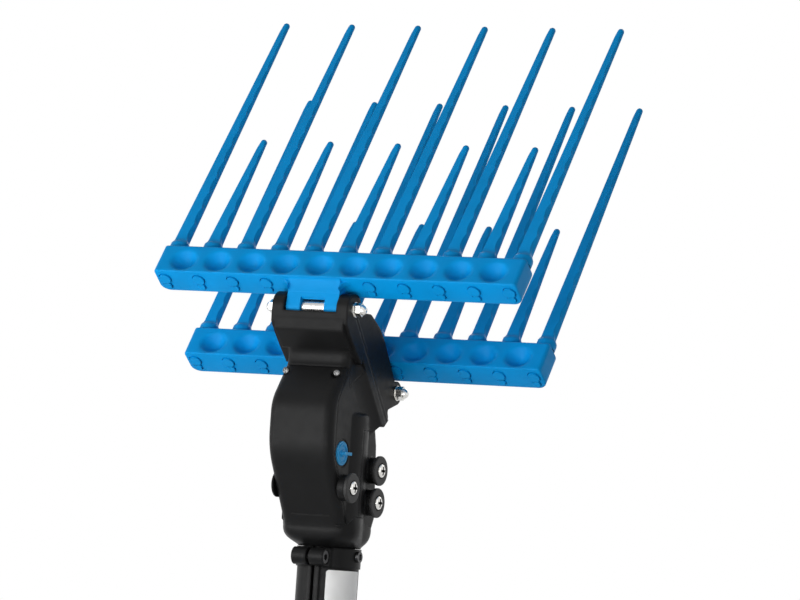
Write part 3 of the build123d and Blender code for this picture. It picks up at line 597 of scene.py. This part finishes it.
def tine_stations(reach):
    """The places along a tine where its rings of points lie."""
    straight = reach - BAR_DEPTH
    scoops = int((straight - COLLAR_END) / SCOOP_PITCH)
    scoop_end = COLLAR_END + scoops * SCOOP_PITCH
    stations = [COLLAR_END * step / COLLAR_STEPS for step in range(COLLAR_STEPS)]
    stations += [COLLAR_END + SCOOP_PITCH * step / SCOOP_STEPS for step in range(scoops * SCOOP_STEPS + 1)]
    stations += [between(scoop_end, straight, step / END_STEPS) for step in range(1, END_STEPS + 1)]
    return stations


def tine_rings(reach, x):
    """All rings of points of a tine, from its flared collar to its round tip."""
    stations = tine_stations(reach)
    tip = stations[-1]
    rings = []
    for along in stations:
        start_round = 1.0 - (along - COLLAR_BAND) / (COLLAR_END - COLLAR_BAND)
        end_round = 1.0 - (tip - along) / TIP_BLEND
        roundness = min(max(start_round, end_round, 0.0), 1.0)
        rings.append(tine_ring(tine_radius(along, reach), scoop_share(along), roundness, along, x))
    for step in range(1, TIP_STEPS):
        angle = 0.5 * pi * step / TIP_STEPS
        ahead = tip + TIP_RADIUS * sin(angle)
        rings.append(tine_ring(TIP_RADIUS * cos(angle), SCOOP_RIDGE, roundness=1.0, along=ahead, x=x))
    return rings


def shade_tine(mesh, size, count):
    """Smooth sides, with sharp edges along both sides of the upper face."""
    sharp_columns = {0, size - SIDE_STEPS}
    for face in mesh.polygons:
        face.use_smooth = len(face.vertices) == 4
    for edge in mesh.edges:
        first, second = edge.vertices
        along_tine = abs(first - second) == size and max(first, second) < count
        edge.use_edge_sharp = along_tine and first % size in sharp_columns


def tine_x(index):
    """A tine's place along its bar, from the bar's middle."""
    return (index - (TINE_COUNT - 1) / 2) * TINE_PITCH


def make_tine(comb, index):
    """A tine with a scooped edge, a flared collar, a round tip and a keyed shank end."""
    kind, reach = ("long", LONG_REACH) if index % 2 == 0 else ("short", SHORT_REACH)
    name = f"{comb}_{kind}_tine_{index // 2 + 1}"
    x = COMB_SHIFT[comb] + tine_x(index)
    rings = tine_rings(reach, x)
    size = len(rings[0])
    taper_points, taper_faces = skin(rings)
    count = len(taper_points)
    taper_faces.append(list(range(count - size, count)))
    front = BAR_AHEAD - SHANK_PROUD
    back = BAR_AHEAD + BAR_DEPTH - SHANK_SINK
    shank = rod(x, TINE_RISE, SHANK_RADIUS, front, back)
    key = rod(x, TINE_RISE - KEY_DROP, KEY_RADIUS, front, back)
    points, faces = joined([(taper_points, taper_faces), shank, key])
    tine = mesh_object(name + "_moulded", points, faces, MATERIALS["blue_plastic"])
    shade_tine(tine.data, size, count)
    fix_normals(tine.data)
    tine.data.transform(comb_place(comb))
    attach(tine, comb + "_comb")
    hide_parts(name)


# Bars
def corner_inset(distance, radius):
    """How far a rounded corner draws an edge in, at a distance from the end."""
    short = max(radius - distance, 0.0)
    return radius - (radius * radius - short * short) ** 0.5


def dimple_depth(x, y):
    """Depth of the soft hollows in a bar's upper face, at a place from the face's middle."""
    last = (TINE_COUNT - 1) // 2
    place = min(max(round(x / TINE_PITCH - 0.5), -last), last - 1)
    across = (x - (place + 0.5) * TINE_PITCH) / DIMPLE_HALF_WIDTH
    deep = (y + DIMPLE_FORWARD) / DIMPLE_HALF_DEPTH
    bowl = DIMPLE_SINK * (1.0 - across * across - deep * deep)
    return 0.5 * (bowl + (bowl * bowl + DIMPLE_SOFT * DIMPLE_SOFT) ** 0.5)


def bar_stations(half_length):
    """Places along a bar where its rings of points lie, closer together at the rounded ends."""
    ends = [BAR_LOW_CORNER * (1.0 - cos(0.5 * pi * step / BAR_END_STEPS)) for step in range(BAR_END_STEPS)]
    inner = half_length - BAR_LOW_CORNER
    count = round(2.0 * inner / BAR_STEP)
    stations = [-half_length + end for end in ends]
    stations += [between(-inner, inner, step / count) for step in range(count + 1)]
    return stations + [half_length - end for end in reversed(ends)]


def bar_ring(x, half_length):
    """One ring of points round a bar: upper face with its hollows, back, lower face and front."""
    end = half_length - abs(x)
    high = TINE_RISE + BAR_ABOVE - corner_inset(end, BAR_TOP_CORNER)
    low = TINE_RISE - BAR_BELOW + corner_inset(end, BAR_LOW_CORNER)
    half = 0.5 * BAR_DEPTH - corner_inset(end, BAR_EDGE_ROUND)
    middle = BAR_AHEAD + 0.5 * BAR_DEPTH
    flat = half - BAR_EDGE_ROUND
    ring = []
    for step in range(BAR_TOP_STEPS):
        y = between(-flat, flat, step / BAR_TOP_STEPS)
        ring.append((x, middle + y, high - dimple_depth(x, y)))
    corners = (
        (flat, high - BAR_EDGE_ROUND, 0.5 * pi), (flat, low + BAR_EDGE_ROUND, 0.0),
        (-flat, low + BAR_EDGE_ROUND, -0.5 * pi), (-flat, high - BAR_EDGE_ROUND, -pi))
    for y, z, turn in corners:
        for step in range(BAR_ARC_STEPS + 1):
            angle = turn - 0.5 * pi * step / BAR_ARC_STEPS
            ring.append((x, middle + y + BAR_EDGE_ROUND * cos(angle), z + BAR_EDGE_ROUND * sin(angle)))
    return ring[:-1]


def cut_lug(comb):
    """The hinge lug of a comb, cut from its CAD bar at the bar's front, in the comb's frame."""
    work = bmesh.new()
    work.from_mesh(frame["nodes"][comb + "_bar"].data)
    bmesh.ops.transform(work, matrix=comb_place(comb).inverted(), verts=work.verts)
    bmesh.ops.remove_doubles(work, verts=work.verts, dist=LUG_MERGE)
    front = BAR_AHEAD - LUG_CUT_GAP
    whole = work.verts[:] + work.edges[:] + work.faces[:]
    bmesh.ops.bisect_plane(
        work, geom=whole, plane_co=(0.0, front, 0.0), plane_no=(0.0, 1.0, 0.0), clear_outer=True)
    rim = [edge for edge in work.edges if edge.is_boundary]
    bmesh.ops.holes_fill(work, edges=rim, sides=0)
    for vertex in work.verts:
        if vertex.co.y > front - LUG_CUT_GAP:
            vertex.co.y = BAR_AHEAD + LUG_SINK
    return work


def add_skin(work, rings):
    """Add a closed skin through rings of points to a mesh in the making."""
    points, faces = lofted(rings)
    corners = [work.verts.new(point) for point in points]
    for face in faces:
        work.faces.new([corners[index] for index in face])


def add_web(work, side, size):
    """A hollow rounded web between one side of a lug and the front of its bar."""
    inner = LUG_HALF_WIDTH - LUG_SINK
    outer = LUG_HALF_WIDTH + size
    outline = [(inner, BAR_AHEAD + LUG_SINK), (outer, BAR_AHEAD + LUG_SINK)]
    for step in range(WEB_STEPS + 1):
        angle = 0.5 * pi * (1.0 + step / WEB_STEPS)
        outline.append((outer + size * cos(angle), BAR_AHEAD - size + size * sin(angle)))
    outline.append((inner, BAR_AHEAD - size))
    add_skin(work, [[(side * x, y, z) for x, y in outline] for z in (LUG_WEB_LOW, LUG_WEB_HIGH)])


def add_fillet(work):
    """A hollow fillet along the upper edge of a lug, from the bar's front to the lug's upper face."""
    high = Vector((BAR_AHEAD, LUG_FILLET_HIGH))
    corner = Vector((BAR_AHEAD, LUG_WEB_HIGH))
    low = Vector((LUG_FILLET_FRONT, LUG_FILLET_LOW))
    outline = [(BAR_AHEAD + LUG_SINK, LUG_FILLET_HIGH)]
    for step in range(WEB_STEPS + 1):
        share = step / WEB_STEPS
        place = high.lerp(corner, share).lerp(corner.lerp(low, share), share)
        outline.append((place.x, place.y))
    outline.append((BAR_AHEAD + LUG_SINK, LUG_FILLET_LOW))
    add_skin(work, [[(x, y, z) for y, z in outline] for x in (-LUG_HALF_WIDTH, LUG_HALF_WIDTH)])


def cut_sockets(bar):
    """Cut the keyed sockets of the tines through a bar."""
    front = BAR_AHEAD - SOCKET_OVERRUN
    back = BAR_AHEAD + BAR_DEPTH + SOCKET_OVERRUN
    for drop, radius in ((0.0, SHANK_RADIUS), (KEY_DROP, KEY_RADIUS)):
        points, faces = joined([
            rod(tine_x(index), TINE_RISE - drop, radius + SOCKET_CLEARANCE, front, back)
            for index in range(TINE_COUNT)])
        cut_mesh(bar, points, faces)


def make_bar(comb):
    """A comb's bar with soft hollows between the tines, keyed sockets and its hinge lug."""
    half_length = tine_x(TINE_COUNT - 1) + BAR_END_MARGIN
    points, faces = lofted([bar_ring(x, half_length) for x in bar_stations(half_length)])
    bar = mesh_object(comb + "_bar_moulded", points, faces, MATERIALS["blue_plastic"])
    fix_normals(bar.data)
    cut_sockets(bar)
    work = cut_lug(comb)
    if LUG_WEB[comb] > 0.0:
        for side in (-1.0, 1.0):
            add_web(work, side, LUG_WEB[comb])
        add_fillet(work)
    bmesh.ops.recalc_face_normals(work, faces=work.faces)
    bar.data.transform(Matrix.Translation((COMB_SHIFT[comb], 0.0, 0.0)))
    work.from_mesh(bar.data)
    work.to_mesh(bar.data)
    work.free()
    bar.data.transform(comb_place(comb))
    shade_by_angle(bar.data, BAR_CREASE)
    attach(bar, comb + "_comb")
    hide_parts(comb + "_bar")


# Flare and lower end of the housing
def flare_width(below):
    """Half width of the housing's flare at a depth below the flange: a hollow curve."""
    share = min(max(below / FLARE_DEPTH, 0.0), 1.0)
    return between(BODY_HALF_WIDTH, FLARE_TOP, (1.0 - share) ** FLARE_HOLLOW)


def flare_profile(shift):
    """Half widths and depths of the flare where it has sunk by a shift into the housing's side."""
    depth = FLARE_DEPTH - shift
    profile = [(FLARE_INNER, 0.0)]
    for step in range(FLARE_STEPS + 1):
        below = depth * step / FLARE_STEPS
        profile.append((flare_width(below + shift), below))
    profile.append((FLARE_INNER, depth))
    return profile


def make_flare_ends():
    """The ends of the flare on both sides of the housing, run out smoothly towards the waist."""
    base, out, along = head_axes()
    sides = []
    for side in (-1.0, 1.0):
        rings = []
        for row in range(FLARE_ROWS + 1):
            share = row / FLARE_ROWS
            axis = base + along * (FLARE_START + FLARE_LENGTH * share) + out * FLARE_RIM
            rings.append([
                axis - out * below + Vector((side * width, 0.0, 0.0))
                for width, below in flare_profile(FLARE_DEPTH * smooth_step(share))])
        sides.append(lofted(rings))
    points, faces = joined(sides)
    flare = mesh_object("flare_ends", points, faces, MATERIALS["black_plastic"])
    fix_normals(flare.data)
    shade_by_angle(flare.data, FLARE_CREASE)
    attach(flare, "housing")


def ridge_bulge(y, half_x, front):
    """How far the motor's rib stands out of the housing's side, fading out towards the front."""
    reach = max(RIDGE_RADIUS ** 2 - (y - RIDGE_Y) ** 2, 0.0) ** 0.5
    fade = smooth_step((y - front - RIDGE_SOFT_START) / (RIDGE_SOFT_END - RIDGE_SOFT_START))
    return max(reach - half_x, 0.0) * fade


def fairing_ring(height, swell, lean, tuck):
    """One ring of points of the housing's lower end: a circle at the neck, a rounded box above it."""
    half_x = between(FAIRING_NECK, FAIRING_HALF_X, swell) - tuck
    front = between(-FAIRING_NECK, FAIRING_FRONT, swell) - lean + tuck
    back = between(FAIRING_NECK, FAIRING_BACK, swell)
    power = between(2.0, FAIRING_POWER, swell * swell)
    middle = 0.5 * (front + back)
    half_y = 0.5 * (back - front)
    ring = []
    for angle in turns(FAIRING_POINTS):
        across = abs(cos(angle)) / half_x
        deep = abs(sin(angle)) / half_y
        reach = (across ** power + deep ** power) ** (-1.0 / power)
        x = reach * cos(angle)
        y = middle + reach * sin(angle)
        side = (abs(x) / half_x) ** FAIRING_POWER
        bulge = ridge_bulge(y, half_x, front) * side * swell * swell
        ring.append((x + bulge * (1.0 if x > 0.0 else -1.0), y, height))
    return ring


def make_fairing():
    """The rounded lower end of the housing, drawn in to the round neck, with its rear screw holes."""
    rings = []
    for row in range(FAIRING_RINGS):
        share = row / (FAIRING_RINGS - 1)
        swell = 1.0 - (1.0 - share) ** FAIRING_SWELL
        rings.append(fairing_ring(FAIRING_LOW + FAIRING_ROUND * share, swell, lean=0.0, tuck=0.0))
    rise = FAIRING_HIGH - FAIRING_LOW - FAIRING_ROUND
    rings.append(fairing_ring(FAIRING_HIGH, 1.0, lean=rise * FAIRING_LEAN, tuck=FAIRING_TUCK))
    points, faces = lofted(rings)
    fairing = mesh_object("neck_fairing", points, faces, MATERIALS["black_plastic"])
    fix_normals(fairing.data)
    seat, height = REAR_SCREW_PLACE
    points, faces = joined([
        rod(side * REAR_SCREW_X, height, REAR_HOLE_RADIUS, seat, REAR_HOLE_END) for side in (-1.0, 1.0)])
    cut_mesh(fairing, points, faces)
    shade_by_angle(fairing.data, FAIRING_CREASE)
    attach(fairing, "housing")


# Screws
def cross_head(name, radius, height, length, width, depth, material):
    """A domed screw head on Z = 0 with a cross recess."""
    rim = HEAD_RIM_SHARE * height
    profile = [(radius, HEAD_FOOT), (radius, rim)]
    for step in range(1, HEAD_DOME_STEPS):
        angle = 0.5 * pi * step / HEAD_DOME_STEPS
        profile.append((radius * cos(angle) ** HEAD_DOME_POWER, between(rim, height, sin(angle))))
    points, faces = revolved(profile, HEAD_POINTS)
    head = mesh_object(name, points, faces, material)
    fix_normals(head.data)
    cut_box(head, (length, width, 2.0 * depth), height)
    cut_box(head, (width, length, 2.0 * depth), height)
    return head


def set_heads(name, head, places, material, node):
    """Copies of a screw head at the places, as one piece in place of a node."""
    head_points = [vertex.co.copy() for vertex in head.data.vertices]
    head_faces = [list(face.vertices) for face in head.data.polygons]
    bpy.data.objects.remove(head)
    copies = []
    for place, direction in places:
        turn = direction.to_track_quat("Z", "Y").to_matrix()
        copies.append(([turn @ point + place for point in head_points], head_faces))
    points, faces = joined(copies)
    screws = mesh_object(name, points, faces, material)
    shade_by_angle(screws.data, HEAD_CREASE)
    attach(screws, "housing")
    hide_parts(node)
    return screws


def paint_recess_shade(screws, places, length, width):
    """Painted shade: a near-black material on the faces inside the cross recesses, where shade falls."""
    screws.data.materials.append(PAINTED_RECESS_SHADE)
    for face in screws.data.polygons:
        place, direction = min(places, key=lambda spot: (face.center - spot[0]).length)
        turn = direction.to_track_quat("Z", "Y").to_matrix().transposed()
        spot = turn @ (face.center - place)
        near, far = sorted((abs(spot.x), abs(spot.y)))
        inside = near <= 0.5 * width + RECESS_SLACK and far <= 0.5 * length + RECESS_SLACK
        face.material_index = 1 if inside and spot.z > RECESS_SLACK else 0


def screw_places():
    """Place and direction of each housing screw: cover, rear cover and cap."""
    base, out, along = head_axes()
    places = [(Vector((x, *COVER_SCREW_PLACE)), Vector((0.0, -1.0, 0.0))) for x in COVER_SCREW_X]
    for side in (-1.0, 1.0):
        places.append((Vector((side * REAR_SCREW_X, *REAR_SCREW_PLACE)), Vector((0.0, 1.0, 0.0))))
        for rise in CAP_SCREW_RISES:
            across = Vector((side * CAP_SCREW_X, 0.0, 0.0))
            places.append((base + across + out * CAP_SCREW_DEPTH + along * rise, out))
    return places


def make_housing_screws():
    """All housing screws as one piece."""
    head = cross_head(
        "screw_head", SCREW_HEAD_RADIUS, SCREW_HEAD_HEIGHT, SCREW_CROSS_LENGTH, SCREW_CROSS_WIDTH,
        SCREW_CROSS_DEPTH, SCREW_ZINC)
    set_heads("housing_screw_heads", head, screw_places(), SCREW_ZINC, "housing_screws")


def make_bumper_screws():
    """The bright screws in the middle of the bumpers."""
    head = cross_head(
        "bumper_head", BUMPER_HEAD_RADIUS, BUMPER_HEAD_HEIGHT, BUMPER_CROSS_LENGTH, BUMPER_CROSS_WIDTH,
        BUMPER_CROSS_DEPTH, BRIGHT_SCREW)
    seat = BODY_HALF_WIDTH + BUMPER_POST + BUMPER_RECESS_FLOOR
    places = [(Vector((seat, y, z)), Vector((1.0, 0.0, 0.0))) for y, z in BUMPER_PLACES]
    screws = set_heads("bumper_screw_heads", head, places, BRIGHT_SCREW, "bumper_screws")
    # Painted shade in the cross recesses of the bumper screws
    paint_recess_shade(screws, places, BUMPER_CROSS_LENGTH, BUMPER_CROSS_WIDTH)


# Grease plug
def plug_point(angle, radius, lift):
    """A point on a circle about the plug's axis, at a height over the housing's side."""
    _, y, z = joint_place("grease_plug_turn")
    return BODY_HALF_WIDTH + lift, y + radius * cos(angle), z + radius * sin(angle)


def make_plug_painted_shade_ring():
    """Painted shade: a near-black flat ring laid in the sunk seat round the grease plug, where shade falls.
    """
    points, faces = skin([
        [plug_point(angle, radius, -PLUG_RING_SINK) for angle in turns(PLUG_POINTS)]
        for radius in (PLUG_RING_INNER, PLUG_RING_OUTER)])
    ring = mesh_object("plug_painted_shade_ring", points, faces, PAINTED_RECESS_SHADE)
    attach(ring, "housing")


def make_plug_rim():
    """The rim and the hub on the face of the grease plug."""
    rim_rings = []
    for angle in turns(PLUG_POINTS):
        rim_rings.append([
            plug_point(angle, PLUG_RIM_RADIUS + PLUG_RIM_ROUND * cos(turn), PLUG_RIM_ROUND * sin(turn))
            for turn in turns(PLUG_RIM_POINTS)])
    hub = lofted([
        [plug_point(angle, PLUG_HUB_RADIUS, lift) for angle in turns(PLUG_POINTS)]
        for lift in (PLUG_HUB_FOOT, PLUG_HUB_HEIGHT)])
    points, faces = joined([skin(rim_rings, closed=True), hub])
    rim = mesh_object("plug_rim", points, faces, PLUG_BLUE)
    fix_normals(rim.data)
    shade_by_angle(rim.data, PLUG_CREASE)
    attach(rim, "plug")


# Sticker
def make_sticker():
    """A blank sticker with round corners, wrapped round the sleeve."""
    radius = SLEEVE_RADIUS + STICKER_LIFT
    corner_turn = STICKER_CORNER / radius
    angles = [
        between(STICKER_START, STICKER_END, step / STICKER_STEPS) for step in range(STICKER_STEPS + 1)]
    for step in range(1, STICKER_CORNER_STEPS):
        share = 1.0 - cos(0.5 * pi * step / STICKER_CORNER_STEPS)
        angles += [STICKER_START + corner_turn * share, STICKER_END - corner_turn * share]
    points = []
    for angle in sorted(angles):
        from_edge = max(min(angle - STICKER_START, STICKER_END - angle), 0.0)
        inset = corner_inset(from_edge * radius, STICKER_CORNER)
        for z in (STICKER_LOW + inset, STICKER_HIGH - inset):
            points.append((radius * cos(angle), radius * sin(angle), z))
    faces = [(2 * step, 2 * step + 2, 2 * step + 3, 2 * step + 1) for step in range(len(angles) - 1)]
    sticker = mesh_object("blank_sticker", points, faces, LABEL_PAPER)
    for face in sticker.data.polygons:
        face.use_smooth = True
    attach(sticker, "housing")


# Floor, camera and light
def seen_directly(tree):
    """One for rays from the camera, a mirror or glass, and nought for rays that light the object."""
    path = tree.nodes.new("ShaderNodeLightPath")
    mirrored = tree.nodes.new("ShaderNodeMath")
    mirrored.operation = "MAXIMUM"
    link(tree, path, "Is Camera Ray", mirrored, 0)
    link(tree, path, "Is Glossy Ray", mirrored, 1)
    through = tree.nodes.new("ShaderNodeMath")
    through.operation = "MAXIMUM"
    link(tree, mirrored, "Value", through, 0)
    link(tree, path, "Is Transmission Ray", through, 1)
    return through


def add_shown_strength(tree, low, high):
    """A strength that is high where the eye sees the surface and low where it lights the object."""
    strength = tree.nodes.new("ShaderNodeMapRange")
    strength.inputs["To Min"].default_value = low
    strength.inputs["To Max"].default_value = high
    link(tree, seen_directly(tree), "Value", strength, "Value")
    return strength


def make_stage():
    """A plain pale floor, which looks nearly white and keeps the object's shadow."""
    size = FLOOR_HALF
    level = cad_bounds[0][2] - FLOOR_DROP
    corners = [(-size, -size, level), (size, -size, level), (size, size, level), (-size, size, level)]
    material, tree, shader = new_material("floor", FLOOR_WHITE, FLOOR_ROUGHNESS)
    shader.inputs["Emission Color"].default_value = (*WHITE, 1.0)
    link(tree, add_shown_strength(tree, 0.0, FLOOR_GLOW), "Result", shader, "Emission Strength")
    floor = mesh_object("floor", corners, [(0, 1, 2, 3)], material)
    return floor


def make_camera():
    """The camera at the photograph's place."""
    back = Vector((
        sin(CAMERA_AZIMUTH) * cos(CAMERA_ELEVATION),
        -cos(CAMERA_AZIMUTH) * cos(CAMERA_ELEVATION),
        sin(CAMERA_ELEVATION),
    ))
    level_right = Vector((cos(CAMERA_AZIMUTH), sin(CAMERA_AZIMUTH), 0.0))
    level_up = back.cross(level_right)
    right = level_right * cos(CAMERA_ROLL) + level_up * sin(CAMERA_ROLL)
    up = back.cross(right)
    place = CAMERA_TARGET + back * CAMERA_DISTANCE
    data = bpy.data.cameras.new("camera")
    data.lens = CAMERA_LENS
    data.sensor_width = SENSOR_WIDTH
    data.sensor_fit = "HORIZONTAL"
    data.clip_end = CAMERA_REACH
    camera = bpy.data.objects.new("camera", data)
    camera.matrix_world = Matrix((
        (right.x, up.x, back.x, place.x),
        (right.y, up.y, back.y, place.y),
        (right.z, up.z, back.z, place.z),
        (0.0, 0.0, 0.0, 1.0),
    ))
    bpy.context.collection.objects.link(camera)
    bpy.context.scene.camera = camera


def add_softbox(name, place, target, size, power):
    """A large soft area light."""
    data = bpy.data.lights.new(name, "AREA")
    data.shape = "RECTANGLE"
    data.size = size[0]
    data.size_y = size[1]
    data.energy = power
    lamp = bpy.data.objects.new(name, data)
    lamp.location = place
    lamp.rotation_euler = (Vector(place) - Vector(target)).to_track_quat("Z", "Y").to_euler()
    lamp.visible_camera = False
    bpy.context.collection.objects.link(lamp)
    return lamp


def keep_off(lamp, piece):
    """Stop a lamp from lighting a piece."""
    skipped = bpy.data.collections.new(lamp.name + "_skips")
    skipped.objects.link(piece)
    skipped.collection_objects[0].light_linking.link_state = "EXCLUDE"
    lamp.light_linking.receiver_collection = skipped


def make_lights(floor):
    """A large key, a low strip that leaves the floor out, a back and a side lamp, and a white surround."""
    add_softbox("key_light", place=(-1.1, -2.0, 0.50), target=LAMP_TARGET, size=(1.8, 0.9), power=18.5)
    low = add_softbox(
        "low_light", place=(-0.10, -0.45, 0.03), target=LOW_LAMP_TARGET, size=(1.5, 0.2), power=4.2)
    keep_off(low, floor)
    add_softbox("back_light", place=(-0.5, 2.0, 1.1), target=LAMP_TARGET, size=(1.8, 0.9), power=9.0)
    add_softbox("side_light", place=(1.9, 0.2, 0.6), target=LAMP_TARGET, size=(0.6, 1.2), power=1.6)
    world = bpy.data.worlds.new("surround")
    bpy.context.scene.world = world
    world.use_nodes = True
    tree = world.node_tree
    background = tree.nodes["Background"]
    background.inputs["Color"].default_value = (*WHITE, 1.0)
    link(tree, add_shown_strength(tree, SURROUND_LIGHT, 1.0), "Result", background, "Strength")


# The whole scene
dress_frame()
for comb_name in COMB_SHIFT:
    make_bar(comb_name)
    for tine_index in range(TINE_COUNT):
        make_tine(comb_name, tine_index)
make_housing_screws()
make_bumper_screws()
# Painted shade ring in the seat round the grease plug
make_plug_painted_shade_ring()
make_plug_rim()
make_fairing()
make_flare_ends()
make_sticker()
stage_floor = make_stage()
make_camera()
make_lights(stage_floor)
bpy.context.scene.view_settings.view_transform = "Standard"
